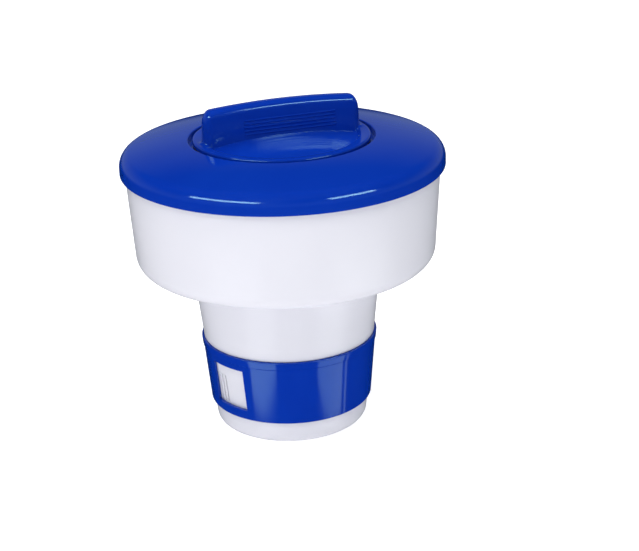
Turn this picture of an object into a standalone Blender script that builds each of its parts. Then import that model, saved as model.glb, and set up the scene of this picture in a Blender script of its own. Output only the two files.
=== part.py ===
"""Floating chlorine dispenser for a swimming pool.

A hollow white drum carries the dispenser on the water. A tapered canister hangs through its
floor and holds a stack of tablets. A domed blue lid closes the drum, a screw cap with a bar
handle closes the filler mouth, and a blue sleeve turns on the canister to open or shut its
slots.

Frame: origin at the centre of the canister's base, +Z up the axis, handle along X.
Every length below is in millimetres and every angle in degrees, unless it says otherwise.
"""

import math

import bmesh
import bpy

MM = 0.001
SEGMENTS = 48                    # facets round every turned piece
GAP = 0.3                        # clearance between pieces that touch

# Driving dimensions -----------------------------------------------------------------------
WALL = 2.2                       # moulded wall
LID_RADIUS = 100.0
LID_EDGE_Z = 167.5               # lower edge of the lid's skirt
LIP_RADIUS = 57.3                # edge of the well that the cap sits in
LIP_SLOPE = 4.5                  # slope of the domed top at that edge
SHOULDER_SLOPE = 13.5            # slope of the domed top where the shoulder starts
SHOULDER_RADIUS = 8.5            # rounding between the lid's top and its skirt
SHOULDER_Z = 172.0               # height where that rounding meets the skirt
LEDGE_Z = 181.4                  # ledge in the well that carries the cap's seal
PAD_Z = 178.8                    # underside of that ledge
NECK_BOTTOM_Z = 165.8
NECK_RADIUS = 51.6               # bore of the lid's threaded neck
NECK_WALL = 2.4

DRUM_TOP_RADIUS = 97.2
DRUM_TOP_Z = 172.2
DRUM_DRAFT = 0.064               # radius gained per mm of height
DRUM_FLOOR_Z = 106.5             # underside of the drum
DRUM_FILLET = 9.4
DRUM_FLOOR = 2.4

CAN_BASE_FILLET = 5.5
CAN_TAPER = 0.109                # radius gained per mm of height
CAN_RADIUS_AT_BASE = 47.8        # radius that the taper would have at z = 0
CAN_TOP_Z = 175.8
TUBE_RADIUS = 60.0               # straight part of the canister, inside the drum
FLANGE_RADIUS = 67.0
FLANGE_Z = 111.5

SLEEVE_BOTTOM_Z = 15.4
SLEEVE_TOP_Z = 58.0
SLEEVE_BOTTOM_RADIUS = 51.4
SLEEVE_TOP_RADIUS = 55.3
SLEEVE_SEAT = 0.5                # depth of the seat that keeps the sleeve at its height
BAND_HEIGHT = 5.0                # raised band along the sleeve's top edge
BAND_PROUD = 0.5

WINDOW_CENTRES = (-154.9, 25.1)  # where the two windows stand at rest
WINDOW_WIDTH = 28.8
WINDOW_Z = (21.7, 49.4)
SLOT_CENTRES = (-169.2, 10.8)    # middle of each group of slots
SLOTS_PER_GROUP = 6
SLOT_PITCH = 3.8
SLOT_WIDTH = 1.6
SLOT_Z = (22.5, 41.2)
CUTTER_RADII = (40.0, 65.0)      # a cutter spans the wall between these radii

CAP_RADIUS = 54.6
CAP_CREST_Z = 186.9              # top of the cap's rim, just above the lid's lip
CAP_CROWN_Z = 188.4              # centre of the domed floor beside the handle
CAP_CROWN_RADIUS = 260.0
CAP_FLANGE_Z = 183.8             # underside of the rim, which presses on the seal
SKIRT_RADIUS = 48.5
SKIRT_BOTTOM_Z = 169.0

THREAD_STARTS = 4
THREAD_LEAD = 24.0               # rise in one full turn
THREAD_HEIGHT = 2.4
THREAD_ROOT_WIDTH = 2.4
THREAD_CREST_WIDTH = 1.4
THREAD_SPAN = 150.0              # turn covered by one thread ridge
THREAD_END = 0.35                # share of its height that a ridge keeps at its ends
THREAD_ROOT = 0.6                # how deep a ridge is rooted in its wall
CAP_THREAD_Z = 170.6             # where the cap's ridges start
LID_THREAD_OFFSET = 2.6          # the lid's ridges run this far above the cap's

HANDLE_HALF_LENGTH = 49.4        # at its foot
HANDLE_TOP_Z = 209.4
HANDLE_ARCH = 2.2                # drop of the top edge from the middle to the corners
HANDLE_CORNER = 7.0
HANDLE_END_DRAFT = 0.05
HANDLE_FOOT_Z = 184.8
HANDLE_FOOT_HALF_WIDTH = 6.0
HANDLE_TOP_HALF_WIDTH = 5.0
HANDLE_EDGE = 1.8                # rounding along the handle's edges
HANDLE_ROOT = 1.0                # the handle is rooted this far below its foot
HOLLOW_ROOT = 8.0                # its hollow reaches this far below its foot, open underneath

LID_GASKET = 1.7                 # thickness of the gasket between the drum's rim and the lid

BLUE = (0.006, 0.040, 0.360)
WHITE = (0.80, 0.81, 0.86)
BLACK = (0.02, 0.02, 0.022)


# Shapes -----------------------------------------------------------------------------------
def clear_scene():
    for item in list(bpy.data.objects):
        bpy.data.objects.remove(item, do_unlink=True)


def finish(name, colour, roughness):
    """A plain plastic or rubber material."""
    material = bpy.data.materials.new(name)
    material.use_nodes = True
    shader = material.node_tree.nodes["Principled BSDF"]
    shader.inputs["Base Color"].default_value = (*colour, 1.0)
    shader.inputs["Roughness"].default_value = roughness
    shader.inputs["Metallic"].default_value = 0.0
    return material


def add_object(name, mesh, material=None):
    """Put a bmesh into the scene as a named object, smooth except at its sharp edges."""
    bmesh.ops.recalc_face_normals(mesh, faces=mesh.faces)
    data = bpy.data.meshes.new(name)
    mesh.to_mesh(data)
    mesh.free()
    data.shade_smooth()
    data.set_sharp_from_angle(angle=math.radians(35))
    if material:
        data.materials.append(material)
    item = bpy.data.objects.new(name, data)
    bpy.context.scene.collection.objects.link(item)
    return item


def arc(centre, radius, start, end, steps):
    """Points (radius, height) along an arc, with its angles measured from +r towards +z."""
    points = []
    for index in range(steps + 1):
        angle = math.radians(start + (end - start) * index / steps)
        points.append((centre[0] + radius * math.cos(angle), centre[1] + radius * math.sin(angle)))
    return points


def turned(name, outline, material, closed=True):
    """Spin an outline of (radius, height) points round Z. An open outline ends on the axis."""
    mesh = bmesh.new()
    verts = [mesh.verts.new((radius * MM, 0.0, height * MM)) for radius, height in outline]
    first = 0 if closed else 1
    edges = [mesh.edges.new((verts[i - 1], verts[i])) for i in range(first, len(verts))]
    bmesh.ops.spin(mesh, geom=verts + edges, axis=(0, 0, 1), cent=(0, 0, 0),
                   angle=math.tau, steps=SEGMENTS, use_merge=True)
    bmesh.ops.remove_doubles(mesh, verts=mesh.verts, dist=0.001 * MM)
    return add_object(name, mesh, material)


def ring(name, inner, outer, bottom, top, material):
    """A plain flat ring, such as a gasket."""
    return turned(name, [(inner, bottom), (outer, bottom), (outer, top), (inner, top)], material)


def join(target, tool, operation):
    """Boolean the tool into the target for good, and remove the tool."""
    modifier = target.modifiers.new(operation.lower(), "BOOLEAN")
    modifier.operation = operation
    modifier.solver = "EXACT"
    modifier.object = tool
    graph = bpy.context.evaluated_depsgraph_get()
    result = bpy.data.meshes.new_from_object(target.evaluated_get(graph))
    target.modifiers.clear()
    target.data = result
    bpy.data.objects.remove(tool, do_unlink=True)


def sector_block(name, angle, width, heights, steps):
    """A cutter across a round wall, centred on an angle; its width is an angle too."""
    inner, outer = CUTTER_RADII
    low, high = heights
    mesh = bmesh.new()
    columns = []
    for index in range(steps + 1):
        turn = math.radians(angle + width * (index / steps - 0.5))
        corners = [(inner, low), (outer, low), (outer, high), (inner, high)]
        columns.append([mesh.verts.new((r * MM * math.cos(turn), r * MM * math.sin(turn), z * MM))
                        for r, z in corners])
    mesh.faces.new(columns[0])
    mesh.faces.new(columns[-1])
    for left, right in zip(columns, columns[1:]):
        for k in range(4):
            mesh.faces.new((left[k - 1], left[k], right[k], right[k - 1]))
    return add_object(name, mesh)


def thread_ridges(name, root, crest, start_z):
    """Helical ridges that rise anticlockwise, one for each start, tapered at both ends."""
    mesh = bmesh.new()
    steps = round(THREAD_SPAN * SEGMENTS / 360)
    for start in range(THREAD_STARTS):
        sections = []
        for index in range(steps + 1):
            degrees = start * 360 / THREAD_STARTS + index * 360 / SEGMENTS
            height = start_z + THREAD_LEAD * index / SEGMENTS
            share = THREAD_END if index in (0, steps) else 1.0
            tip = root + (crest - root) * share
            half_root = THREAD_ROOT_WIDTH / 2
            half_tip = THREAD_CREST_WIDTH / 2
            turn = math.radians(degrees)
            corners = [(root, -half_root), (tip, -half_tip), (tip, half_tip), (root, half_root)]
            sections.append([mesh.verts.new((r * MM * math.cos(turn), r * MM * math.sin(turn),
                                             (height + dz) * MM)) for r, dz in corners])
        mesh.faces.new(sections[0])
        mesh.faces.new(sections[-1])
        for left, right in zip(sections, sections[1:]):
            for k in range(4):
                mesh.faces.new((left[k - 1], left[k], right[k], right[k - 1]))
    return add_object(name, mesh)


# Pieces -----------------------------------------------------------------------------------
def canister_radius(height):
    return CAN_RADIUS_AT_BASE + CAN_TAPER * height


def base_corner(inset):
    """Rounded bottom corner of the canister, tangent to its taper, moved in by the inset."""
    lean = math.atan(CAN_TAPER)
    tangent_r = canister_radius(CAN_BASE_FILLET * (1 - math.sin(lean)))
    centre = (tangent_r - CAN_BASE_FILLET * math.cos(lean), CAN_BASE_FILLET)
    return arc(centre, CAN_BASE_FILLET - inset, -90, -math.degrees(lean), 4)


def make_canister(material):
    """Slotted tablet holder: tapered below the drum, a straight tube inside it."""
    seat_low = SLEEVE_BOTTOM_Z - GAP
    seat_high = SLEEVE_TOP_Z + GAP
    shoulder_z = DRUM_FLOOR_Z - GAP
    outside = [(0.0, 0.0)] + base_corner(0.0) + [
        (canister_radius(seat_low), seat_low),
        (canister_radius(seat_low) - SLEEVE_SEAT, seat_low),
        (canister_radius(seat_high) - SLEEVE_SEAT, seat_high),
        (canister_radius(seat_high), seat_high),
        (canister_radius(shoulder_z), shoulder_z),
        (TUBE_RADIUS, FLANGE_Z),
        (FLANGE_RADIUS, FLANGE_Z),
        (FLANGE_RADIUS, FLANGE_Z + WALL),
        (TUBE_RADIUS, FLANGE_Z + WALL),
        (TUBE_RADIUS, CAN_TOP_Z),
    ]
    inside = [(TUBE_RADIUS - WALL, CAN_TOP_Z), (TUBE_RADIUS - WALL, FLANGE_Z)]
    inside += reversed(base_corner(WALL))
    canister = turned("canister", outside + inside + [(0.0, WALL)], material, closed=False)
    first = -(SLOTS_PER_GROUP - 1) / 2
    for centre in SLOT_CENTRES:
        for index in range(SLOTS_PER_GROUP):
            angle = centre + (first + index) * SLOT_PITCH
            width = math.degrees(SLOT_WIDTH / canister_radius(SLOT_Z[0]))
            cutter = sector_block("slot_cutter", angle, width, SLOT_Z, steps=1)
            join(canister, cutter, "DIFFERENCE")
    return canister


def make_sleeve(material):
    """Flow sleeve: a thin tapered ring with two windows and a raised band on its top edge."""
    taper = (SLEEVE_TOP_RADIUS - SLEEVE_BOTTOM_RADIUS) / (SLEEVE_TOP_Z - SLEEVE_BOTTOM_Z)
    band_z = SLEEVE_TOP_Z - BAND_HEIGHT
    band_radius = SLEEVE_TOP_RADIUS - taper * BAND_HEIGHT
    bore_offset = GAP - SLEEVE_SEAT
    outline = [
        (canister_radius(SLEEVE_BOTTOM_Z) + bore_offset, SLEEVE_BOTTOM_Z),
        (SLEEVE_BOTTOM_RADIUS, SLEEVE_BOTTOM_Z),
        (band_radius, band_z),
        (band_radius + BAND_PROUD, band_z + 0.4),
        (SLEEVE_TOP_RADIUS + BAND_PROUD, SLEEVE_TOP_Z),
        (canister_radius(SLEEVE_TOP_Z) + bore_offset, SLEEVE_TOP_Z),
    ]
    sleeve = turned("flow_sleeve", outline, material)
    for centre in WINDOW_CENTRES:
        cutter = sector_block("window_cutter", centre, WINDOW_WIDTH, WINDOW_Z, steps=4)
        join(sleeve, cutter, "DIFFERENCE")
    return sleeve


def make_drum(material):
    """Float drum: a tapered shell with a rounded lower edge and a hole for the canister."""
    lean = math.atan(DRUM_DRAFT)
    centre_z = DRUM_FLOOR_Z + DRUM_FILLET
    tangent_z = centre_z - DRUM_FILLET * math.sin(lean)
    tangent_r = DRUM_TOP_RADIUS - DRUM_DRAFT * (DRUM_TOP_Z - tangent_z)
    centre = (tangent_r - DRUM_FILLET * math.cos(lean), centre_z)
    hole = TUBE_RADIUS + GAP
    floor_top = DRUM_FLOOR_Z + DRUM_FLOOR
    outline = arc(centre, DRUM_FILLET, -90, -math.degrees(lean), 4)
    outline += [(DRUM_TOP_RADIUS, DRUM_TOP_Z), (DRUM_TOP_RADIUS - WALL, DRUM_TOP_Z)]
    outline += reversed(arc(centre, DRUM_FILLET - WALL, -90, -math.degrees(lean), 3))
    outline += [(hole, floor_top), (hole, DRUM_FLOOR_Z)]
    return turned("float_drum", outline, material)


def lid_top():
    """Outline of the lid's top: a dome from the well's lip, then the rounded shoulder."""
    steep = math.radians(SHOULDER_SLOPE)
    gentle = math.radians(LIP_SLOPE)
    shoulder_centre = (LID_RADIUS - SHOULDER_RADIUS, SHOULDER_Z)
    shoulder = arc(shoulder_centre, SHOULDER_RADIUS, 90 - SHOULDER_SLOPE, 0, 4)
    meet_r, meet_z = shoulder[0]
    dome_radius = (meet_r - LIP_RADIUS) / (math.sin(steep) - math.sin(gentle))
    dome_centre = (meet_r - dome_radius * math.sin(steep), meet_z - dome_radius * math.cos(steep))
    dome = arc(dome_centre, dome_radius, 90 - LIP_SLOPE, 90 - SHOULDER_SLOPE, 3)
    return dome[:-1] + shoulder


def make_lid(material):
    """Domed lid: skirt over the drum's rim, and a well with a threaded neck for the cap."""
    top = lid_top()
    lip_z = top[0][1]
    skirt_inner = LID_RADIUS - WALL
    gasket_seat = DRUM_TOP_Z + LID_GASKET + 2 * GAP
    pad_inner = DRUM_TOP_RADIUS - WALL - 0.4
    well_outer = LIP_RADIUS + WALL
    neck_outer = NECK_RADIUS + NECK_WALL
    underside = [(r, z - WALL) for r, z in top[1:3]]
    outline = top + [
        (LID_RADIUS, LID_EDGE_Z),
        (skirt_inner, LID_EDGE_Z),
        (skirt_inner, gasket_seat),
        (pad_inner, gasket_seat),
        (pad_inner - 1.0, gasket_seat + WALL),
    ]
    outline += reversed(underside)
    outline += [
        (well_outer, lip_z - WALL),
        (well_outer, PAD_Z),
        (neck_outer, PAD_Z),
        (neck_outer, NECK_BOTTOM_Z),
        (NECK_RADIUS, NECK_BOTTOM_Z),
        (NECK_RADIUS, LEDGE_Z),
        (LIP_RADIUS, LEDGE_Z),
    ]
    lid = turned("lid", outline, material)
    start_z = CAP_THREAD_Z + LID_THREAD_OFFSET - THREAD_LEAD / THREAD_STARTS
    crest = NECK_RADIUS - THREAD_HEIGHT
    join(lid, thread_ridges("lid_thread", NECK_RADIUS + THREAD_ROOT, crest, start_z), "UNION")
    return lid


def crown_z(radius):
    """Height of the cap's domed floor."""
    return CAP_CROWN_Z - radius * radius / (2 * CAP_CROWN_RADIUS)


def handle_block(name, inset, foot_z, edge):
    """The bar handle, or with an inset the hollow inside it: an arched outline, drafted."""
    half_length = HANDLE_HALF_LENGTH - inset
    top_z = HANDLE_TOP_Z - inset
    corner = max(HANDLE_CORNER - inset, 1.0)
    end_z = top_z - HANDLE_ARCH - corner
    end_x = half_length - HANDLE_END_DRAFT * (end_z - HANDLE_FOOT_Z)
    corner_centre = (end_x - corner, end_z)
    right = arc(corner_centre, corner, 0, 86, 4)
    arch = [(right[-1][0] * t, top_z - HANDLE_ARCH * t * t) for t in (0.67, 0.33)]
    side = [(half_length - HANDLE_END_DRAFT * (foot_z - HANDLE_FOOT_Z), foot_z)] + right + arch
    outline = side + [(-x, z) for x, z in reversed(side)]

    def half_width(height):
        share = (height - HANDLE_FOOT_Z) / (HANDLE_TOP_Z - HANDLE_FOOT_Z)
        width = HANDLE_FOOT_HALF_WIDTH + (HANDLE_TOP_HALF_WIDTH - HANDLE_FOOT_HALF_WIDTH) * share
        return width - inset

    mesh = bmesh.new()
    front = [mesh.verts.new((x * MM, -half_width(z) * MM, z * MM)) for x, z in outline]
    back = [mesh.verts.new((x * MM, half_width(z) * MM, z * MM)) for x, z in outline]
    mesh.faces.new(front)
    mesh.faces.new(back)
    for k in range(len(outline)):
        mesh.faces.new((front[k - 1], front[k], back[k], back[k - 1]))
    if edge:
        above_foot = (foot_z + 0.01) * MM
        rims = [e for e in mesh.edges if e.verts[0].co.y * e.verts[1].co.y > 0
                and max(v.co.z for v in e.verts) > above_foot]
        bmesh.ops.bevel(mesh, geom=rims, offset=edge * MM, segments=2, profile=0.5,
                        affect="EDGES", clamp_overlap=True)
    return add_object(name, mesh)


def make_cap(material):
    """Screw cap: dished top with a bar handle, and a skirt with a quick four-start thread."""
    dome = [(r, crown_z(r)) for r in (0.0, 15.0, 30.0, 44.0)]
    skirt_inner = SKIRT_RADIUS - WALL
    underside = [(r, crown_z(r) - WALL) for r in (42.0, 22.0, 0.0)]
    outline = dome + [
        (46.2, CAP_CREST_Z - 2.3),
        (47.8, CAP_CREST_Z - 1.1),
        (51.0, CAP_CREST_Z - 0.3),
        (CAP_RADIUS - 1.2, CAP_CREST_Z),
        (CAP_RADIUS, CAP_CREST_Z - 0.9),
        (CAP_RADIUS, CAP_FLANGE_Z),
        (SKIRT_RADIUS, CAP_FLANGE_Z),
        (SKIRT_RADIUS, SKIRT_BOTTOM_Z),
        (skirt_inner, SKIRT_BOTTOM_Z),
        (skirt_inner, CAP_FLANGE_Z - 1.8),
    ] + underside
    cap = turned("turn_cap", outline, material, closed=False)
    join(cap, handle_block("handle", 0.0, HANDLE_FOOT_Z - HANDLE_ROOT, HANDLE_EDGE), "UNION")
    join(cap, handle_block("hollow", WALL, HANDLE_FOOT_Z - HOLLOW_ROOT, 0.0), "DIFFERENCE")
    crest = SKIRT_RADIUS + THREAD_HEIGHT
    join(cap, thread_ridges("cap_thread", SKIRT_RADIUS - THREAD_ROOT, crest, CAP_THREAD_Z), "UNION")
    return cap


def make_seals(material):
    """Four rubber rings: under the cap, on the drum's rim, on the tube and on the floor."""
    rim_z = DRUM_TOP_Z + GAP
    floor_z = DRUM_FLOOR_Z + DRUM_FLOOR + GAP
    tube_inner = TUBE_RADIUS - WALL
    ring("cap_seal", NECK_RADIUS + GAP, CAP_RADIUS - GAP, LEDGE_Z + GAP, CAP_FLANGE_Z - GAP,
         material)
    ring("lid_gasket", DRUM_TOP_RADIUS - WALL, DRUM_TOP_RADIUS, rim_z, rim_z + LID_GASKET,
         material)
    ring("neck_seal", tube_inner + 0.1, LIP_RADIUS + WALL, CAN_TOP_Z + GAP, PAD_Z - GAP, material)
    ring("floor_seal", TUBE_RADIUS + 0.8, FLANGE_RADIUS - 1.0, floor_z, FLANGE_Z - GAP, material)


def build():
    clear_scene()
    blue = finish("blue_plastic", BLUE, 0.22)
    white = finish("white_plastic", WHITE, 0.30)
    rubber = finish("black_rubber", BLACK, 0.75)
    make_canister(white)
    make_sleeve(blue)
    make_drum(white)
    make_lid(blue)
    make_cap(blue)
    make_seals(rubber)


build()
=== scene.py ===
"""Floating chlorine dispenser for a swimming pool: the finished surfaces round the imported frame.

The pieces follow in the order in which the dispenser goes together, from the canister up to
the screw cap. Lengths are in millimetres, and MM turns them into metres.
"""

import math

import bmesh
import bpy
from mathutils import Matrix, Vector


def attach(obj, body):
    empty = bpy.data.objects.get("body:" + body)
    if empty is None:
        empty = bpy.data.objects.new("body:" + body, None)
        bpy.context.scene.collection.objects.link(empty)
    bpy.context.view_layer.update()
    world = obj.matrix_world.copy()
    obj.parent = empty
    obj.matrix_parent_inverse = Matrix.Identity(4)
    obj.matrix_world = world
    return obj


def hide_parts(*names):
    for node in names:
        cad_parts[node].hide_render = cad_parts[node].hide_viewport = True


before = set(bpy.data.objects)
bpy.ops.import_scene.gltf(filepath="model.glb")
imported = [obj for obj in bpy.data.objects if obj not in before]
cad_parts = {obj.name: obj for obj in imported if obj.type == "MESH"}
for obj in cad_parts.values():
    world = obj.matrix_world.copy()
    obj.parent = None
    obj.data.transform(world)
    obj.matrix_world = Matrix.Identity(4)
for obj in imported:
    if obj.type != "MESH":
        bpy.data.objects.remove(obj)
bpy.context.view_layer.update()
MM = 0.001

# Camera -----------------------------------------------------------------------------------
# A long lens that looks down on the lid from a little to the left, tipped slightly to one side.
# Its distance and aim are in millimetres.
camera_azimuth = math.radians(-18.74)
camera_elevation = math.radians(21.08)
camera_distance = 983.7
camera_aim = Vector((11.3, -30.1, 103.0))
camera_roll = math.radians(-1.805)
away = Vector((math.sin(camera_azimuth) * math.cos(camera_elevation),
               -math.cos(camera_azimuth) * math.cos(camera_elevation),
               math.sin(camera_elevation)))
camera = bpy.data.objects.new("camera", bpy.data.cameras.new("camera"))
camera.data.lens = 90.14
camera.data.sensor_width = 36.0
camera.location = (camera_aim + away * camera_distance) * MM
camera.rotation_euler = (
    (-away).to_track_quat("-Z", "Y").to_matrix() @ Matrix.Rotation(camera_roll, 3, "Z")).to_euler()
bpy.context.scene.collection.objects.link(camera)
bpy.context.scene.camera = camera

# Canister ---------------------------------------------------------------------------------
# The white tablet holder: one polypropylene moulding, tapered below the drum and straight
# inside it, with a flange that is sealed to the drum's floor. Water flows through its slots.
CANISTER_BASE_RADIUS = 47.8      # radius that the taper would have at the base
CANISTER_TAPER = 0.109           # radius gained for each millimetre of height
CANISTER_WALL = 2.2              # thickness of its wall and its floor
TAPER_TOP = 106.2                # the taper ends here, just under the drum
TUBE_RADIUS = 60.0
TUBE_BORE = 57.8                 # inner radius of the tube
TUBE_TOP = 175.8
FLANGE_RADIUS = 67.0
FLANGE_BOTTOM = 111.5
FLANGE_TOP = 113.7
SLOT_WIDTH = 1.2
SLOT_BOTTOM = 22.5
SLOT_TOP = 41.2
SLOT_MIDDLE = -169.2             # where the first group's middle stands, in degrees
SLOT_PITCH = 3.8                 # from one slot to the next, in degrees
SLOTS_IN_A_GROUP = 6
SLOT_CUTTER_RADIUS = 50.0        # middle of the block that cuts through the wall
SLOT_CUTTER_DEPTH = 14.0
SLEEVE_BOTTOM = 15.4
SLEEVE_TOP = 58.0
SLEEVE_SEAT = 0.5                # the sleeve runs in a seat this deep
RUNNING_GAP = 0.3
FACETS = 288                     # facets round a turned piece
ARC_STEP = 8                     # largest turn between two points of a rounded corner, in degrees
CREASE = math.radians(32)        # edges that turn more than this stay crisp


def canister_radius(height):
    return CANISTER_BASE_RADIUS + CANISTER_TAPER * height


def rounded(corners):
    """Turn corners (radius, height, rounding) into outline points, with an arc at each rounding."""
    points = []
    for i, (radius, height, rounding) in enumerate(corners):
        here = Vector((radius, height))
        if not rounding:
            points.append(here)
            continue
        before = Vector(corners[i - 1][:2]) - here
        after = Vector(corners[(i + 1) % len(corners)][:2]) - here
        half = before.angle(after) / 2
        reach = min(rounding / math.tan(half), 0.48 * before.length, 0.48 * after.length)
        inward = (before.normalized() + after.normalized()).normalized()
        centre = here + inward * reach / math.cos(half)
        start = here + before.normalized() * reach - centre
        end = here + after.normalized() * reach - centre
        first = math.atan2(start.y, start.x)
        sweep = math.remainder(math.atan2(end.y, end.x) - first, math.tau)
        steps = max(2, math.ceil(abs(math.degrees(sweep)) / ARC_STEP))
        for k in range(steps + 1):
            angle = first + sweep * k / steps
            points.append(centre + start.length * Vector((math.cos(angle), math.sin(angle))))
    return points


def show(name, mesh, material):
    """Put a bmesh into the scene as a smooth object with crisp edges."""
    data = bpy.data.meshes.new(name)
    mesh.to_mesh(data)
    mesh.free()
    data.shade_smooth()
    data.set_sharp_from_angle(angle=CREASE)
    data.materials.append(material)
    piece = bpy.data.objects.new(name, data)
    bpy.context.scene.collection.objects.link(piece)
    return piece


def turned(name, corners, material, on_axis=False):
    """Spin an outline round the dispenser's axis. One that starts and ends on it stays open."""
    mesh = bmesh.new()
    points = rounded(corners)
    verts = [mesh.verts.new((p.x * MM, 0.0, p.y * MM)) for p in points]
    edges = [mesh.edges.new((verts[i - 1], verts[i])) for i in range(int(on_axis), len(verts))]
    bmesh.ops.spin(mesh, geom=verts + edges, axis=(0, 0, 1), cent=(0, 0, 0),
                   angle=math.tau, steps=FACETS, use_merge=True)
    bmesh.ops.remove_doubles(mesh, verts=mesh.verts, dist=0.002 * MM)
    bmesh.ops.recalc_face_normals(mesh, faces=mesh.faces)
    return show(name, mesh, material)


def moulded_plastic(name, deep, pale, roughness, grain, shine=(1.0, 1.0, 1.0)):
    """Moulded plastic: flow marks in its colour, a fine moulded skin, and faint handling marks."""
    material = bpy.data.materials.new(name)
    material.use_nodes = True
    nodes = material.node_tree.nodes
    link = material.node_tree.links.new
    shader = nodes["Principled BSDF"]
    place = nodes.new("ShaderNodeTexCoord")

    flow = nodes.new("ShaderNodeTexNoise")
    flow.inputs["Scale"].default_value = 9.0
    flow.inputs["Detail"].default_value = 4.0
    flow.inputs["Distortion"].default_value = 1.2
    link(place.outputs["Object"], flow.inputs["Vector"])
    tint = nodes.new("ShaderNodeValToRGB")
    tint.color_ramp.elements[0].position = 0.32
    tint.color_ramp.elements[0].color = (*deep, 1.0)
    tint.color_ramp.elements[1].position = 0.70
    tint.color_ramp.elements[1].color = (*pale, 1.0)
    link(flow.outputs["Fac"], tint.inputs["Fac"])
    link(tint.outputs["Color"], shader.inputs["Base Color"])

    marks = nodes.new("ShaderNodeTexNoise")
    marks.inputs["Scale"].default_value = 140.0
    marks.inputs["Detail"].default_value = 6.0
    link(place.outputs["Object"], marks.inputs["Vector"])
    gloss = nodes.new("ShaderNodeMapRange")
    gloss.inputs["From Min"].default_value = 0.3
    gloss.inputs["From Max"].default_value = 0.7
    gloss.inputs["To Min"].default_value = roughness - 0.01
    gloss.inputs["To Max"].default_value = roughness + 0.02
    link(marks.outputs["Fac"], gloss.inputs["Value"])
    link(gloss.outputs["Result"], shader.inputs["Roughness"])

    skin = nodes.new("ShaderNodeTexNoise")
    skin.inputs["Scale"].default_value = 260.0
    skin.inputs["Detail"].default_value = 1.0
    link(place.outputs["Object"], skin.inputs["Vector"])
    bump = nodes.new("ShaderNodeBump")
    bump.inputs["Strength"].default_value = grain
    bump.inputs["Distance"].default_value = 0.02 * MM
    link(skin.outputs["Fac"], bump.inputs["Height"])
    link(bump.outputs["Normal"], shader.inputs["Normal"])
    shader.inputs["IOR"].default_value = 1.49
    shader.inputs["Specular Tint"].default_value = (*shine, 1.0)
    return material


def size_input(tree, name, value, kind="NodeSocketFloat"):
    """A named input of a tree, with the value that it has until it is set."""
    socket = tree.interface.new_socket(name, in_out="INPUT", socket_type=kind)
    socket.default_value = value


def math_node(tree, operation, first, second=None):
    """A Math node; each of its inputs is a number or an output socket."""
    node = tree.nodes.new("ShaderNodeMath")
    node.operation = operation
    for socket, value in zip(node.inputs, (first, second)):
        if isinstance(value, bpy.types.NodeSocket):
            tree.links.new(value, socket)
        elif value is not None:
            socket.default_value = value
    return node.outputs[0]


def xyz(tree, x, y, z):
    """A vector; each of its parts is a number or an output socket."""
    node = tree.nodes.new("ShaderNodeCombineXYZ")
    for socket, value in zip(node.inputs, (x, y, z)):
        if isinstance(value, bpy.types.NodeSocket):
            tree.links.new(value, socket)
        else:
            socket.default_value = value
    return node.outputs[0]


def new_tree(name, sizes, counts):
    """A node tree with a geometry in and out, and a named input for each size and count."""
    tree = bpy.data.node_groups.new(name, "GeometryNodeTree")
    tree.interface.new_socket("Geometry", in_out="INPUT", socket_type="NodeSocketGeometry")
    tree.interface.new_socket("Geometry", in_out="OUTPUT", socket_type="NodeSocketGeometry")
    for size in sizes:
        size_input(tree, size, 1.0)
    for count in counts:
        size_input(tree, count, 1, "NodeSocketInt")
    size_input(tree, "Material", None, "NodeSocketMaterial")
    return tree, tree.nodes.new("NodeGroupInput").outputs, tree.nodes.new("NodeGroupOutput")


def finish_tree(tree, given, geometry, out):
    """End a tree in Realize Instances and Set Material."""
    realize = tree.nodes.new("GeometryNodeRealizeInstances")
    paint = tree.nodes.new("GeometryNodeSetMaterial")
    tree.links.new(geometry, realize.inputs[0])
    tree.links.new(realize.outputs[0], paint.inputs["Geometry"])
    tree.links.new(given["Material"], paint.inputs["Material"])
    tree.links.new(paint.outputs[0], out.inputs[0])


def settle(piece):
    """Keep what the modifiers make of a piece as its plain mesh, smooth with crisp edges."""
    graph = bpy.context.evaluated_depsgraph_get()
    plain = bpy.data.meshes.new_from_object(piece.evaluated_get(graph))
    piece.modifiers.clear()
    piece.data = plain
    plain.shade_smooth()
    plain.set_sharp_from_angle(angle=CREASE)


def apply_tree(piece, tree, **sizes):
    """Run a tree on a piece with these sizes and keep the result as its plain mesh."""
    modifier = piece.modifiers.new(tree.name, "NODES")
    modifier.node_group = tree
    for socket in tree.interface.items_tree:
        key = socket.name.lower().replace(" ", "_")
        if socket.in_out == "INPUT" and key in sizes:
            modifier[socket.identifier] = sizes[key]
    settle(piece)


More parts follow.
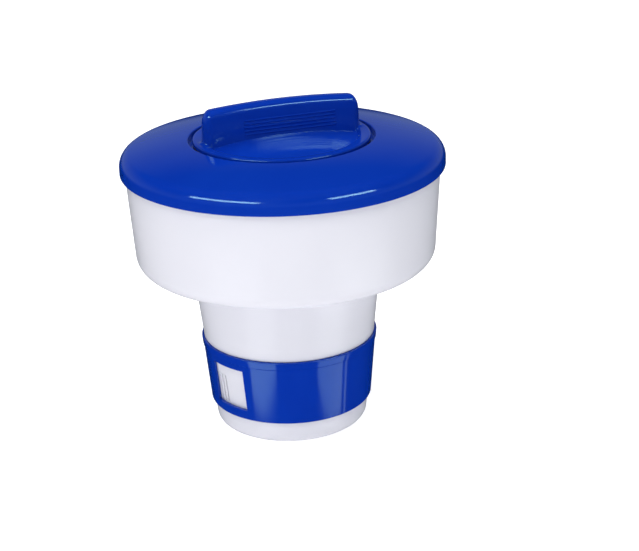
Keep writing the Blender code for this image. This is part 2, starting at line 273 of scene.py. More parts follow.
def openings_tree():
    """Cut rows of upright openings through a round wall, each row centred on its own angle."""
    tree, given, out = new_tree(
        "wall_openings", ["Radius", "Depth", "Width", "Bottom", "Top", "Middle", "Pitch"],
        ["Rows", "Openings"])
    height = math_node(tree, "SUBTRACT", given["Top"], given["Bottom"])
    middle_z = math_node(tree, "MULTIPLY", math_node(tree, "ADD", given["Top"], given["Bottom"]), 0.5)
    block = tree.nodes.new("GeometryNodeMeshCube")
    tree.links.new(xyz(tree, given["Depth"], given["Width"], height), block.inputs["Size"])
    outward = tree.nodes.new("GeometryNodeTransform")
    tree.links.new(block.outputs[0], outward.inputs["Geometry"])
    tree.links.new(xyz(tree, given["Radius"], 0.0, middle_z), outward.inputs["Translation"])
    points = tree.nodes.new("GeometryNodeMeshLine")
    tree.links.new(math_node(tree, "MULTIPLY", given["Rows"], given["Openings"]), points.inputs["Count"])
    points.inputs["Offset"].default_value = (0, 0, 0)
    index = tree.nodes.new("GeometryNodeInputIndex").outputs[0]
    row = math_node(tree, "FLOOR", math_node(tree, "DIVIDE", index, given["Openings"]))
    place = math_node(tree, "MODULO", index, given["Openings"])
    half_row = math_node(tree, "MULTIPLY", math_node(tree, "SUBTRACT", given["Openings"], 1.0), 0.5)
    within = math_node(tree, "MULTIPLY", math_node(tree, "SUBTRACT", place, half_row), given["Pitch"])
    turn = math_node(tree, "DIVIDE", math.tau, given["Rows"])
    angle = math_node(tree, "ADD", math_node(tree, "MULTIPLY", row, turn),
                      math_node(tree, "ADD", within, given["Middle"]))
    copies = tree.nodes.new("GeometryNodeInstanceOnPoints")
    tree.links.new(points.outputs[0], copies.inputs["Points"])
    tree.links.new(outward.outputs[0], copies.inputs["Instance"])
    tree.links.new(xyz(tree, 0.0, 0.0, angle), copies.inputs["Rotation"])
    cutters = tree.nodes.new("GeometryNodeRealizeInstances")
    tree.links.new(copies.outputs[0], cutters.inputs[0])
    cut = tree.nodes.new("GeometryNodeMeshBoolean")
    cut.operation = "DIFFERENCE"
    cut.solver = "EXACT"
    tree.links.new(given["Geometry"], cut.inputs["Mesh 1"])
    tree.links.new(cutters.outputs[0], cut.inputs["Mesh 2"])
    finish_tree(tree, given, cut.outputs["Mesh"], out)
    return tree


white_plastic = moulded_plastic("white_polypropylene", (0.755, 0.748, 0.805), (0.772, 0.764, 0.820),
                                roughness=0.22, grain=0.15)
seat_low = SLEEVE_BOTTOM - RUNNING_GAP
seat_high = SLEEVE_TOP + RUNNING_GAP
canister = turned("canister_moulding", [
    (0.0, 0.0, 0),
    (canister_radius(0.0), 0.0, 5.5),
    (canister_radius(seat_low), seat_low, 0.15),
    (canister_radius(seat_low) - SLEEVE_SEAT, seat_low, 0.1),
    (canister_radius(seat_high) - SLEEVE_SEAT, seat_high, 0.1),
    (canister_radius(seat_high), seat_high, 0.25),
    (canister_radius(TAPER_TOP), TAPER_TOP, 3.0),
    (TUBE_RADIUS, FLANGE_BOTTOM, 0.2),
    (FLANGE_RADIUS, FLANGE_BOTTOM, 0.5),
    (FLANGE_RADIUS, FLANGE_TOP, 0.5),
    (TUBE_RADIUS, FLANGE_TOP, 1.0),
    (TUBE_RADIUS, TUBE_TOP, 0.6),
    (TUBE_BORE, TUBE_TOP, 0.6),
    (TUBE_BORE, FLANGE_BOTTOM, 4.0),
    (canister_radius(CANISTER_WALL) - CANISTER_WALL, CANISTER_WALL, 3.3),
    (0.0, CANISTER_WALL, 0),
], white_plastic, on_axis=True)
wall_openings = openings_tree()
apply_tree(canister, wall_openings, radius=SLOT_CUTTER_RADIUS * MM, depth=SLOT_CUTTER_DEPTH * MM,
           width=SLOT_WIDTH * MM, bottom=SLOT_BOTTOM * MM, top=SLOT_TOP * MM,
           middle=math.radians(SLOT_MIDDLE), pitch=math.radians(SLOT_PITCH),
           rows=2, openings=SLOTS_IN_A_GROUP, material=white_plastic)
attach(canister, "dispenser")
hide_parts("canister")

# Flow sleeve ------------------------------------------------------------------------------
# The blue ring that meters the flow: a thin tapered polypropylene moulding with two windows
# and a raised band round its top. It springs into the canister's seat and turns there by hand.
SLEEVE_BOTTOM_RADIUS = 51.4
SLEEVE_TOP_RADIUS = 55.3
SLEEVE_RIM = SLEEVE_TOP + 0.2    # the sleeve's top edge, just short of the seat's
BAND_HEIGHT = 5.0
BAND_PROUD = 0.5
BAND_SLOPE = 0.4                 # height over which the wall steps out to the band
WINDOW_WIDTH = 26.4
WINDOW_BOTTOM = 21.7
WINDOW_TOP = 49.4
WINDOW_MIDDLE = -154.9           # where the first window stands, in degrees
WINDOW_CUTTER_RADIUS = 54.0      # middle of the block that cuts through the wall
WINDOW_CUTTER_DEPTH = 16.0
sleeve_taper = (SLEEVE_TOP_RADIUS - SLEEVE_BOTTOM_RADIUS) / (SLEEVE_TOP - SLEEVE_BOTTOM)
band_bottom = SLEEVE_TOP - BAND_HEIGHT
band_radius = SLEEVE_TOP_RADIUS - sleeve_taper * BAND_HEIGHT
bore_step = RUNNING_GAP - SLEEVE_SEAT
blue_plastic = moulded_plastic("blue_polypropylene", (0.0016, 0.029, 0.360), (0.0025, 0.036, 0.390),
                               roughness=0.09, grain=0.15, shine=(0.55, 1.0, 0.95))
sleeve = turned("flow_sleeve_moulding", [
    (canister_radius(SLEEVE_BOTTOM) + bore_step, SLEEVE_BOTTOM, 0.3),
    (SLEEVE_BOTTOM_RADIUS, SLEEVE_BOTTOM, 0.6),
    (band_radius, band_bottom, 0.2),
    (band_radius + BAND_PROUD, band_bottom + BAND_SLOPE, 0.2),
    (SLEEVE_TOP_RADIUS + BAND_PROUD, SLEEVE_RIM, 0.6),
    (canister_radius(SLEEVE_TOP) + bore_step, SLEEVE_RIM, 0.15),
], blue_plastic)
apply_tree(sleeve, wall_openings, radius=WINDOW_CUTTER_RADIUS * MM, depth=WINDOW_CUTTER_DEPTH * MM,
           width=WINDOW_WIDTH * MM, bottom=WINDOW_BOTTOM * MM, top=WINDOW_TOP * MM,
           middle=math.radians(WINDOW_MIDDLE), pitch=0.0, rows=2, openings=1,
           material=blue_plastic)
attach(sleeve, "sleeve")
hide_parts("flow_sleeve")

# Float drum -------------------------------------------------------------------------------
# The hollow white float: a wide polypropylene bowl with drafted sides, a rounded lower edge and
# a hole in its floor that the canister hangs through. The trapped air keeps it on the water.
DRUM_TOP_RADIUS = 97.2
DRUM_TOP = 172.2
DRUM_BOTTOM = 106.5
DRUM_DRAFT = 0.064
DRUM_WALL = 2.2
DRUM_FLOOR = 2.4                 # thickness of its floor
DRUM_HOLE_RADIUS = 60.3          # the canister's tube goes through this hole
drum_foot_radius = DRUM_TOP_RADIUS - DRUM_DRAFT * (DRUM_TOP - DRUM_BOTTOM)
drum = turned("float_drum_moulding", [
    (DRUM_HOLE_RADIUS, DRUM_BOTTOM, 0.5),
    (drum_foot_radius, DRUM_BOTTOM, 9.4),
    (DRUM_TOP_RADIUS, DRUM_TOP, 0.6),
    (DRUM_TOP_RADIUS - DRUM_WALL, DRUM_TOP, 0.6),
    (drum_foot_radius - DRUM_WALL, DRUM_BOTTOM + DRUM_FLOOR, 7.2),
    (DRUM_HOLE_RADIUS, DRUM_BOTTOM + DRUM_FLOOR, 0.5),
], white_plastic)
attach(drum, "dispenser")
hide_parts("float_drum")

# Seals ------------------------------------------------------------------------------------
# Four black rubber rings, pressed between the mouldings: on the drum's floor, on the tube's top,
# on the drum's rim and under the cap. Rounded edges, dull skin, dusted with talc.
rubber = bpy.data.materials.new("seal_rubber")
rubber.use_nodes = True
rubber_shader = rubber.node_tree.nodes["Principled BSDF"]
rubber_place = rubber.node_tree.nodes.new("ShaderNodeTexCoord")
talc = rubber.node_tree.nodes.new("ShaderNodeTexNoise")
talc.inputs["Scale"].default_value = 320.0
talc.inputs["Detail"].default_value = 5.0
dust = rubber.node_tree.nodes.new("ShaderNodeValToRGB")
dust.color_ramp.elements[0].position = 0.45
dust.color_ramp.elements[0].color = (0.016, 0.016, 0.018, 1.0)
dust.color_ramp.elements[1].position = 0.80
dust.color_ramp.elements[1].color = (0.055, 0.055, 0.058, 1.0)
rubber_bump = rubber.node_tree.nodes.new("ShaderNodeBump")
rubber_bump.inputs["Strength"].default_value = 0.4
rubber_bump.inputs["Distance"].default_value = 0.05 * MM
rubber.node_tree.links.new(rubber_place.outputs["Object"], talc.inputs["Vector"])
rubber.node_tree.links.new(talc.outputs["Fac"], dust.inputs["Fac"])
rubber.node_tree.links.new(dust.outputs["Color"], rubber_shader.inputs["Base Color"])
rubber.node_tree.links.new(talc.outputs["Fac"], rubber_bump.inputs["Height"])
rubber.node_tree.links.new(rubber_bump.outputs["Normal"], rubber_shader.inputs["Normal"])
rubber_shader.inputs["Roughness"].default_value = 0.72


SEAL_ROUND = 0.3                 # rounding of a ring's edges, as a share of its thinner side


def seal(name, node, body, inner, outer, bottom, top):
    """One rubber ring with rounded edges, from its inner and outer radius and its two heights."""
    edge = min(top - bottom, outer - inner) * SEAL_ROUND
    ring = turned(name, [(inner, bottom, edge), (outer, bottom, edge),
                         (outer, top, edge), (inner, top, edge)], rubber)
    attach(ring, body)
    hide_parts(node)


seal("floor_seal_ring", "floor_seal", "dispenser", 60.8, 66.0, 109.2, 111.2)
seal("neck_seal_ring", "neck_seal", "dispenser", 57.9, 59.5, 176.1, 178.5)
seal("lid_gasket_ring", "lid_gasket", "dispenser", 95.0, 97.2, 172.5, 174.2)
seal("cap_seal_ring", "cap_seal", "seal_ring", 51.9, 54.3, 181.7, 183.5)

# Lid --------------------------------------------------------------------------------------
# The domed blue cover: one glossy polypropylene moulding whose skirt is fixed over the drum's
# rim. A round well in its middle takes the cap, on a neck with a quick four-start thread.
LID_RADIUS = 100.0
LID_EDGE = 167.5
LIP_RADIUS = 57.3
LIP_SLOPE = math.radians(4.5)
SHOULDER_SLOPE = math.radians(13.5)
SHOULDER_RADIUS = 8.5
SHOULDER_HEIGHT = 172.0
LID_WALL = 2.2
RIM_SEAT = 174.5                 # underside of the lid where it rests on the drum's gasket
RIM_SEAT_RADIUS = 94.6
WELL_OUTSIDE = 59.5              # outer radius of the wall round the well
WELL_JOIN = 183.8                # where that wall meets the dome's underside
WELL_UNDERSIDE = 178.8
WELL_FLOOR = 181.4               # the cap's seal lies on this
NECK_OUTSIDE = 54.0
NECK_RADIUS = 51.6               # bore that the cap's skirt goes into
NECK_BOTTOM = 165.8
THREAD_STARTS = 4
THREAD_LEAD = 24.0               # rise for a full turn
THREAD_TURNS = 150 / 360         # how far round one ridge goes
THREAD_RISE = 10.0               # how far up it goes on the way
THREAD_DEPTH = 2.4
THREAD_ROOT = 0.6                # how deep a ridge is rooted in its wall
THREAD_ROOT_WIDTH = 2.4
THREAD_CREST_WIDTH = 1.4
THREAD_STEPS = 120               # steps along a full turn of a ridge
THREAD_BOTTOM = 170.6            # where the cap's ridges start
LID_THREAD_OFFSET = 2.6          # the lid's ridges run this far above the cap's


def thread_tree():
    """Wind ridges round a wall, one for each start, and weld them to it."""
    tree, given, out = new_tree(
        "screw_ridges", ["Root", "Crest", "Root Width", "Crest Width", "Bottom", "Rise", "Turns"],
        ["Starts"])
    spiral = tree.nodes.new("GeometryNodeCurveSpiral")
    spiral.inputs["Resolution"].default_value = THREAD_STEPS
    for socket, value in (("Rotations", given["Turns"]), ("Start Radius", given["Root"]),
                          ("End Radius", given["Root"]), ("Height", given["Rise"])):
        tree.links.new(value, spiral.inputs[socket])
    upright = tree.nodes.new("GeometryNodeSetCurveNormal")
    upright.mode = "Z_UP"
    tree.links.new(spiral.outputs[0], upright.inputs["Curve"])
    depth = math_node(tree, "SUBTRACT", given["Crest"], given["Root"])
    section = tree.nodes.new("GeometryNodeCurvePrimitiveQuadrilateral")
    section.mode = "POINTS"
    half_root = math_node(tree, "MULTIPLY", given["Root Width"], 0.5)
    half_crest = math_node(tree, "MULTIPLY", given["Crest Width"], 0.5)
    low_root = math_node(tree, "MULTIPLY", half_root, -1.0)
    low_crest = math_node(tree, "MULTIPLY", half_crest, -1.0)
    for socket, across, up in (("Point 1", 0.0, low_root), ("Point 2", depth, low_crest),
                               ("Point 3", depth, half_crest), ("Point 4", 0.0, half_root)):
        tree.links.new(xyz(tree, across, up, 0.0), section.inputs[socket])
    sweep = tree.nodes.new("GeometryNodeCurveToMesh")
    sweep.inputs["Fill Caps"].default_value = True
    tree.links.new(upright.outputs[0], sweep.inputs["Curve"])
    tree.links.new(section.outputs[0], sweep.inputs["Profile Curve"])
    lift = tree.nodes.new("GeometryNodeTransform")
    tree.links.new(sweep.outputs[0], lift.inputs["Geometry"])
    tree.links.new(xyz(tree, 0.0, 0.0, given["Bottom"]), lift.inputs["Translation"])
    points = tree.nodes.new("GeometryNodeMeshLine")
    tree.links.new(given["Starts"], points.inputs["Count"])
    points.inputs["Offset"].default_value = (0, 0, 0)
    index = tree.nodes.new("GeometryNodeInputIndex").outputs[0]
    angle = math_node(tree, "MULTIPLY", index, math_node(tree, "DIVIDE", math.tau, given["Starts"]))
    copies = tree.nodes.new("GeometryNodeInstanceOnPoints")
    tree.links.new(points.outputs[0], copies.inputs["Points"])
    tree.links.new(lift.outputs[0], copies.inputs["Instance"])
    tree.links.new(xyz(tree, 0.0, 0.0, angle), copies.inputs["Rotation"])
    ridges = tree.nodes.new("GeometryNodeRealizeInstances")
    tree.links.new(copies.outputs[0], ridges.inputs[0])
    weld = tree.nodes.new("GeometryNodeMeshBoolean")
    weld.operation = "UNION"
    weld.solver = "EXACT"
    tree.links.new(given["Geometry"], weld.inputs["Mesh 2"])
    tree.links.new(ridges.outputs[0], weld.inputs["Mesh 2"])
    finish_tree(tree, given, weld.outputs["Mesh"], out)
    return tree


shoulder_r = LID_RADIUS - SHOULDER_RADIUS + SHOULDER_RADIUS * math.sin(SHOULDER_SLOPE)
shoulder_z = SHOULDER_HEIGHT + SHOULDER_RADIUS * math.cos(SHOULDER_SLOPE)
dome_radius = (shoulder_r - LIP_RADIUS) / (math.sin(SHOULDER_SLOPE) - math.sin(LIP_SLOPE))
dome_r = shoulder_r - dome_radius * math.sin(SHOULDER_SLOPE)
dome_z = shoulder_z - dome_radius * math.cos(SHOULDER_SLOPE)
DOME_STEPS = 24
SHOULDER_STEPS = 12
dome = []
for step in range(DOME_STEPS + 1):
    slope = LIP_SLOPE + (SHOULDER_SLOPE - LIP_SLOPE) * step / DOME_STEPS
    dome.append((dome_r + dome_radius * math.sin(slope), dome_z + dome_radius * math.cos(slope), 0))
lip_z = dome[0][1]
shoulder = []
for step in range(1, SHOULDER_STEPS + 1):
    slope = SHOULDER_SLOPE + (math.pi / 2 - SHOULDER_SLOPE) * step / SHOULDER_STEPS
    shoulder.append((LID_RADIUS - SHOULDER_RADIUS + SHOULDER_RADIUS * math.sin(slope),
                     SHOULDER_HEIGHT + SHOULDER_RADIUS * math.cos(slope), 0))
lid = turned("lid_moulding", [(LIP_RADIUS, lip_z, 0.7)] + dome[1:] + shoulder + [
    (LID_RADIUS, LID_EDGE, 0.7),
    (LID_RADIUS - LID_WALL, LID_EDGE, 0.5),
    (LID_RADIUS - LID_WALL, RIM_SEAT, 0.3),
    (RIM_SEAT_RADIUS, RIM_SEAT, 0.3),
    (93.6, 176.7, 1.0),          # the next three follow the dome's underside
    (81.5, 180.6, 0),
    (69.5, 182.5, 0),
    (WELL_OUTSIDE, WELL_JOIN, 0.5),
    (WELL_OUTSIDE, WELL_UNDERSIDE, 0.4),
    (NECK_OUTSIDE, WELL_UNDERSIDE, 0.5),
    (NECK_OUTSIDE, NECK_BOTTOM, 0.5),
    (NECK_RADIUS, NECK_BOTTOM, 0.5),
    (NECK_RADIUS, WELL_FLOOR, 0.4),
    (LIP_RADIUS, WELL_FLOOR, 0.8),
], blue_plastic)
screw_ridges = thread_tree()
lid_thread_bottom = THREAD_BOTTOM + LID_THREAD_OFFSET - THREAD_LEAD / THREAD_STARTS
apply_tree(lid, screw_ridges, root=(NECK_RADIUS + THREAD_ROOT) * MM,
           crest=(NECK_RADIUS - THREAD_DEPTH) * MM, root_width=THREAD_ROOT_WIDTH * MM,
           crest_width=THREAD_CREST_WIDTH * MM, rise=THREAD_RISE * MM, turns=THREAD_TURNS,
           bottom=lid_thread_bottom * MM, starts=THREAD_STARTS, material=blue_plastic)
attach(lid, "dispenser")
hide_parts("lid")

# Screw cap --------------------------------------------------------------------------------
# The blue filler cap: one polypropylene moulding, a low dome inside a raised rim with a hollow
# bar handle across it. The handle has grip ribs on both faces, and the cap's skirt screws into
# the lid's neck by a four-start thread.
CAP_RADIUS = 54.6
CREST = 186.9
CREST_INSIDE = 48.2              # inner radius of the cap's raised rim
CREST_STEP = 0.5                 # the rim's inner edge is this much lower than its top
RIM_UNDERSIDE = 183.8
CROWN = 188.4                    # height of the cap's top at its middle
CROWN_RADIUS = 260.0
SKIRT_RADIUS = 48.5
SKIRT_BOTTOM = 169.0
SKIRT_ROOF = 182.0               # where the skirt's inside meets the cap's underside
CAP_WALL = 2.2
DISH_EDGE = 46.4                 # the groove where the domed middle meets the rim


def crown_z(radius):
    """Height of the cap's gently domed middle at a radius."""
    return CROWN - radius * radius / (2 * CROWN_RADIUS)


cap_top = [(r, crown_z(r), 0) for r in range(0, 44, 2)]
cap_top += [
    (DISH_EDGE, crown_z(DISH_EDGE), 0.8),
    (CREST_INSIDE, CREST - CREST_STEP, 0.9),
    (CAP_RADIUS, CREST, 1.9),
]
cap_skin = rounded(cap_top + [(CAP_RADIUS, RIM_UNDERSIDE, 0)])


def cap_skin_z(radius):
    """Height of the cap's top at a radius, without its handle."""
    for inner, outer in zip(cap_skin, cap_skin[1:]):
        if inner.x <= radius <= outer.x and outer.x > inner.x:
            return inner.y + (outer.y - inner.y) * (radius - inner.x) / (outer.x - inner.x)
    return cap_skin[-1].y


cap = turned("screw_cap_moulding", cap_top + [
    (CAP_RADIUS, RIM_UNDERSIDE, 0.4),
    (SKIRT_RADIUS, RIM_UNDERSIDE, 0.5),
    (SKIRT_RADIUS, SKIRT_BOTTOM, 0.5),
    (SKIRT_RADIUS - CAP_WALL, SKIRT_BOTTOM, 0.5),
    (SKIRT_RADIUS - CAP_WALL, SKIRT_ROOF, 1.5),
    (42.0, crown_z(42.0) - CAP_WALL, 0),
    (22.0, crown_z(22.0) - CAP_WALL, 0),
    (0.0, crown_z(0.0) - CAP_WALL, 0),
], blue_plastic, on_axis=True)

HANDLE_HALF_LENGTH = 50.2
HANDLE_HALF_WIDTH = 6.0
HANDLE_END_ROUND = 5.8           # rounding of the bar's ends, seen from above
HANDLE_TOP = 209.2
HANDLE_ARCH = 2.6                # drop of its top line from the middle to the ends
HANDLE_FOOT = 184.8
HANDLE_DRAFT = 0.018             # how far the faces lean in for each millimetre of height
SIDE_EDGE = 4.2                  # rounding where the faces meet the top
END_EDGE = 6.0                   # rounding of the top line at both ends
HOLLOW_ROOT = 8.0                # the hollow reaches this far below the bar's foot
FOOT_ROUND = (0.3, 2.6)          # fillet at the bar's foot, along its faces and at its ends
FOOT_DEPTH = 1.2                 # the bar starts this far inside the cap's top
FOOT_OVERLAP = 0.05              # its fillet starts this far inside
EDGE_SHRINK = 0.8                # the hollow's edges lose this share of its inset in rounding
CORNER_STEPS = 12
FACE_STEPS = 60
FILLET_STEPS = 6
SIDE_STEPS = 10
TOP_STEPS = 8
RIBS = 5
RIB_LENGTH = 58.0
RIB_PROUD = 0.55                 # radius of a rib's four-sided section
RIB_MIDDLE = 4.0                 # middle of the ribs, along the bar
RIB_FACE = 5.72                  # the top rib's distance from the bar's middle plane
RIB_TOP = 199.3
RIB_PITCH = 2.15


def plan_outline(inset):
    """Points and outward directions round the bar's foot, seen from above."""
    half_length = HANDLE_HALF_LENGTH - inset
    half_width = HANDLE_HALF_WIDTH - inset
    corner = HANDLE_END_ROUND - inset
    outline = []
    for middle_x, middle_y, first in ((half_length - corner, half_width - corner, 0),
                                      (corner - half_length, half_width - corner, 90),
                                      (corner - half_length, corner - half_width, 180),
                                      (half_length - corner, corner - half_width, 270)):
        for step in range(CORNER_STEPS + 1):
            angle = math.radians(first + 90 * step / CORNER_STEPS)
            out = Vector((math.cos(angle), math.sin(angle)))
            outline.append((Vector((middle_x, middle_y)) + out * corner, out))
        if first in (0, 180):    # the long faces, in even steps
            for step in range(1, FACE_STEPS):
                middle = Vector((middle_x - 2 * middle_x * step / FACE_STEPS, middle_y))
                outline.append((middle + out * corner, out))
    return outline


def bar(name, inset, roots, material):
    """The bar as a closed skin with fillets at its foot, or with an inset the hollow inside it."""
    mesh = bmesh.new()
    outline = plan_outline(inset)
    lean = HANDLE_DRAFT * (HANDLE_TOP - HANDLE_FOOT)
    half_top = HANDLE_HALF_LENGTH - inset - lean
    corner = END_EDGE - inset
    edge = SIDE_EDGE - EDGE_SHRINK * inset
    spine_end = half_top - HANDLE_HALF_WIDTH

    def top_z(x):
        """Height of the top line: a gentle arch, rounded down at both ends."""
        past = max(0.0, abs(x) - (half_top - corner))
        return (HANDLE_TOP - inset - HANDLE_ARCH * (x / HANDLE_HALF_LENGTH) ** 2
                - corner + math.sqrt(max(0.0, corner ** 2 - past ** 2)))

    def root(out):
        """Size of the fillet at the foot: small along the faces, larger round the ends."""
        return roots[0] + (roots[1] - roots[0]) * out.x ** 2 if roots else 0.0

    def foot_z(spot):
        """Height at which the bar starts: on the cap's top, or below it for the hollow."""
        return cap_skin_z(spot.length) if roots else HANDLE_FOOT - HOLLOW_ROOT

    drafted = [(point - out * lean, out) for point, out in outline]
    rings = []
    if roots:
        ring = []
        for point, out in outline:
            spot = point + out * root(out)
            ring.append((spot.x, spot.y, foot_z(spot) - FOOT_DEPTH))
        rings.append(ring)
        for step in range(FILLET_STEPS):
            turn = math.pi / (2 * FILLET_STEPS) * step
            ring = []
            for point, out in outline:
                spot = point + out * root(out) * (1 - math.sin(turn))
                rise = root(out) * (1 - math.cos(turn)) - FOOT_OVERLAP
                ring.append((spot.x, spot.y, foot_z(spot) + rise))
            rings.append(ring)
    for step in range(SIDE_STEPS + 1):
        ring = []
        for (low, out), (high, out) in zip(outline, drafted):
            spot = low.lerp(high, step / SIDE_STEPS)
            bottom = foot_z(low) + root(out)
            rise = (top_z(high.x) - edge - bottom) * step / SIDE_STEPS
            ring.append((spot.x, spot.y, bottom + rise))
        rings.append(ring)
    for step in range(1, TOP_STEPS + 1):
        turn = math.pi / 2 * step / TOP_STEPS
        spots = [point - out * edge * (1 - math.cos(turn)) for point, out in drafted]
        rings.append([(spot.x, spot.y, top_z(spot.x) - edge * (1 - math.sin(turn))) for spot in spots])
    last = [Vector(spot[:2]) for spot in rings[-1]]
    for step in range(1, TOP_STEPS + 1):
        spots = [spot.lerp(Vector((max(-spine_end, min(spine_end, spot.x)), 0.0)), step / TOP_STEPS)
                 for spot in last]
        rings.append([(spot.x, spot.y, top_z(spot.x)) for spot in spots])
    rings.insert(0, [(max(-spine_end, min(spine_end, x)), 0.0, z) for x, y, z in rings[0]])
    rows = [[mesh.verts.new(Vector(spot) * MM) for spot in ring] for ring in rings]
    for lower, upper in zip(rows, rows[1:]):
        for k in range(len(outline)):
            mesh.faces.new((lower[k - 1], lower[k], upper[k], upper[k - 1]))
    bmesh.ops.remove_doubles(mesh, verts=mesh.verts, dist=0.01 * MM)
    bmesh.ops.recalc_face_normals(mesh, faces=mesh.faces)
    return show(name, mesh, material)


def cut_or_weld(target, tool, operation):
    """Boolean the tool into the target for good, and remove the tool."""
    modifier = target.modifiers.new(operation.lower(), "BOOLEAN")
    modifier.operation = operation
    modifier.solver = "EXACT"
    modifier.object = tool
    settle(target)
    bpy.data.objects.remove(tool, do_unlink=True)


def grip_tree():
    """Lay straight four-sided grip ribs on the bar's two faces, one above another."""
    tree, given, out = new_tree(
        "grip_ribs", ["Length", "Proud", "Middle", "Face", "Top", "Pitch", "Lean"], ["Ribs"])
    rib = tree.nodes.new("GeometryNodeMeshCylinder")
    rib.inputs["Vertices"].default_value = 4
    tree.links.new(given["Proud"], rib.inputs["Radius"])
    tree.links.new(given["Length"], rib.inputs["Depth"])
    points = tree.nodes.new("GeometryNodeMeshLine")
    tree.links.new(math_node(tree, "MULTIPLY", given["Ribs"], 2.0), points.inputs["Count"])
    points.inputs["Offset"].default_value = (0, 0, 0)
    index = tree.nodes.new("GeometryNodeInputIndex").outputs[0]
    level = math_node(tree, "FLOOR", math_node(tree, "DIVIDE", index, 2.0))
    side = math_node(tree, "SUBTRACT",
                     math_node(tree, "MULTIPLY", math_node(tree, "MODULO", index, 2.0), 2.0), 1.0)
    fall = math_node(tree, "MULTIPLY", level, given["Pitch"])
    out_y = math_node(tree, "ADD", given["Face"], math_node(tree, "MULTIPLY", fall, given["Lean"]))
    place = tree.nodes.new("GeometryNodeSetPosition")
    tree.links.new(points.outputs[0], place.inputs["Geometry"])
    tree.links.new(xyz(tree, given["Middle"], math_node(tree, "MULTIPLY", out_y, side),
                       math_node(tree, "SUBTRACT", given["Top"], fall)), place.inputs["Position"])
    copies = tree.nodes.new("GeometryNodeInstanceOnPoints")
    tree.links.new(place.outputs[0], copies.inputs["Points"])
    tree.links.new(rib.outputs["Mesh"], copies.inputs["Instance"])
    copies.inputs["Rotation"].default_value = (0.0, math.pi / 2, 0.0)
    ribs = tree.nodes.new("GeometryNodeRealizeInstances")
    tree.links.new(copies.outputs[0], ribs.inputs[0])
    weld = tree.nodes.new("GeometryNodeMeshBoolean")
    weld.operation = "UNION"
    weld.solver = "EXACT"
    tree.links.new(given["Geometry"], weld.inputs["Mesh 2"])
    tree.links.new(ribs.outputs[0], weld.inputs["Mesh 2"])
    finish_tree(tree, given, weld.outputs["Mesh"], out)
    return tree


cut_or_weld(cap, bar("bar_skin", 0.0, FOOT_ROUND, blue_plastic), "UNION")
cut_or_weld(cap, bar("bar_hollow", CAP_WALL, None, blue_plastic), "DIFFERENCE")
apply_tree(cap, screw_ridges, root=(SKIRT_RADIUS - THREAD_ROOT) * MM,
           crest=(SKIRT_RADIUS + THREAD_DEPTH) * MM, root_width=THREAD_ROOT_WIDTH * MM,
           crest_width=THREAD_CREST_WIDTH * MM, rise=THREAD_RISE * MM, turns=THREAD_TURNS,
           bottom=THREAD_BOTTOM * MM, starts=THREAD_STARTS, material=blue_plastic)
apply_tree(cap, grip_tree(), length=RIB_LENGTH * MM, proud=RIB_PROUD * MM,
           middle=RIB_MIDDLE * MM, face=RIB_FACE * MM, top=RIB_TOP * MM, pitch=RIB_PITCH * MM,
           lean=HANDLE_DRAFT, ribs=RIBS, material=blue_plastic)
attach(cap, "cap")
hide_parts("turn_cap")

# Studio -----------------------------------------------------------------------------------
# A plain pale floor that glows faintly, against white. Two large soft boxes light the object,
# and five smaller ones show only as reflections in the plastic.
FLOOR_HALF_SIZE = 3.5            # metres
FLOOR_DROP = 0.2                 # the floor lies this far below the base
floor_mesh = bmesh.new()
bmesh.ops.create_grid(floor_mesh, x_segments=1, y_segments=1, size=FLOOR_HALF_SIZE)
floor_finish = bpy.data.materials.new("studio_floor")
floor_finish.use_nodes = True
floor_shader = floor_finish.node_tree.nodes["Principled BSDF"]
floor_shader.inputs["Base Color"].default_value = (0.93, 0.93, 0.935, 1.0)
floor_shader.inputs["Roughness"].default_value = 0.9
floor_shader.inputs["Specular IOR Level"].default_value = 0.0
floor_shader.inputs["Emission Color"].default_value = (1.0, 1.0, 1.0, 1.0)
floor_shader.inputs["Emission Strength"].default_value = 0.50
floor = show("studio_floor", floor_mesh, floor_finish)
floor.location.z = -FLOOR_DROP * MM
floor.visible_glossy = False


def soft_box(name, centre, tilt, width, height, radiance, colour, lit_mirrored):
    """A rectangular soft box: its centre as azimuth, distance and height in metres, its tilt
    down, and whether it lights dull surfaces and whether it is mirrored in shiny ones."""
    light = bpy.data.objects.new(name, bpy.data.lights.new(name, "AREA"))
    light.data.shape = "RECTANGLE"
    light.data.size = width
    light.data.size_y = height
    light.data.energy = radiance * math.pi * width * height
    light.data.color = colour
    light.visible_diffuse, light.visible_glossy = lit_mirrored
    azimuth, distance, rise = centre
    turn, down = math.radians(azimuth), math.radians(tilt)
    light.location = (math.sin(turn) * distance, -math.cos(turn) * distance, rise)
    back = Vector((math.sin(turn) * math.cos(down), -math.cos(turn) * math.cos(down), math.sin(down)))
    light.rotation_euler = back.to_track_quat("Z", "Y").to_euler()
    bpy.context.scene.collection.objects.link(light)


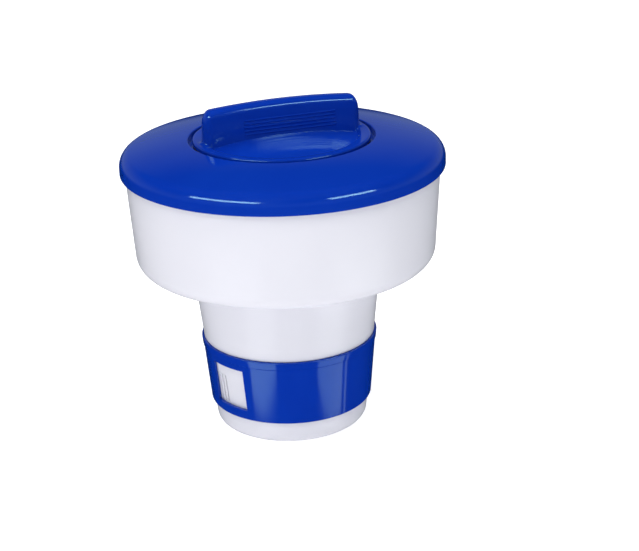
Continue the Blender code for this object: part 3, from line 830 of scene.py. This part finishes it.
soft_box("key_box", (-40, 1.05, 0.90), 38, 0.9, 0.9, 2.15, (1.0, 0.99, 1.0), (True, False))
soft_box("top_box", (0, 0.0, 2.6), 90, 4.4, 4.4, 1.85, (1.0, 0.985, 1.0), (True, False))
soft_box("left_box", (-57, 1.3, -0.75), 0, 0.90, 0.5, 2.4, (0.95, 1.0, 1.0), (False, True))
soft_box("right_box", (40, 1.3, -0.75), 0, 0.94, 0.5, 1.8, (0.95, 1.0, 1.0), (False, True))
soft_box("right_strip", (66, 1.3, -0.75), 0, 0.06, 0.5, 1.7, (0.95, 1.0, 1.0), (False, True))
soft_box("left_lamp", (-61, 1.10, 0.81), 32, 1.05, 0.22, 12.0, (0.95, 1.0, 1.0), (False, True))
soft_box("right_lamp", (31.5, 1.10, 0.81), 32, 0.70, 0.22, 12.0, (0.95, 1.0, 1.0), (False, True))

world = bpy.data.worlds.new("studio")
world.use_nodes = True
bpy.context.scene.world = world
air = world.node_tree.nodes
join = world.node_tree.links.new
direction = air.new("ShaderNodeTexCoord")
parts = air.new("ShaderNodeSeparateXYZ")
level = air.new("ShaderNodeMapRange")
level.inputs["From Min"].default_value = -1.0
wall = air.new("ShaderNodeValToRGB")
wall.color_ramp.elements[0].position = 0.46
wall.color_ramp.elements[0].color = (0.0, 0.01, 0.02, 1.0)
wall.color_ramp.elements[1].position = 0.52
wall.color_ramp.elements[1].color = (0.20, 0.25, 0.27, 1.0)
for height, shade in ((0.62, (0.16, 0.20, 0.22, 1.0)), (0.76, (0.01, 0.03, 0.04, 1.0))):
    wall.color_ramp.elements.new(height).color = shade
beyond = air.new("ShaderNodeBackground")
beyond.inputs["Color"].default_value = (1.0, 1.0, 1.0, 1.0)
rays = air.new("ShaderNodeLightPath")
seen = air.new("ShaderNodeMixShader")
join(direction.outputs["Generated"], parts.inputs[0])
join(parts.outputs["Z"], level.inputs["Value"])
join(level.outputs["Result"], wall.inputs["Fac"])
join(wall.outputs["Color"], air["Background"].inputs["Color"])
join(rays.outputs["Is Camera Ray"], seen.inputs["Fac"])
join(air["Background"].outputs[0], seen.inputs[1])
join(beyond.outputs[0], seen.inputs[2])
join(seen.outputs[0], air["World Output"].inputs["Surface"])
bpy.context.scene.view_settings.view_transform = "Standard"
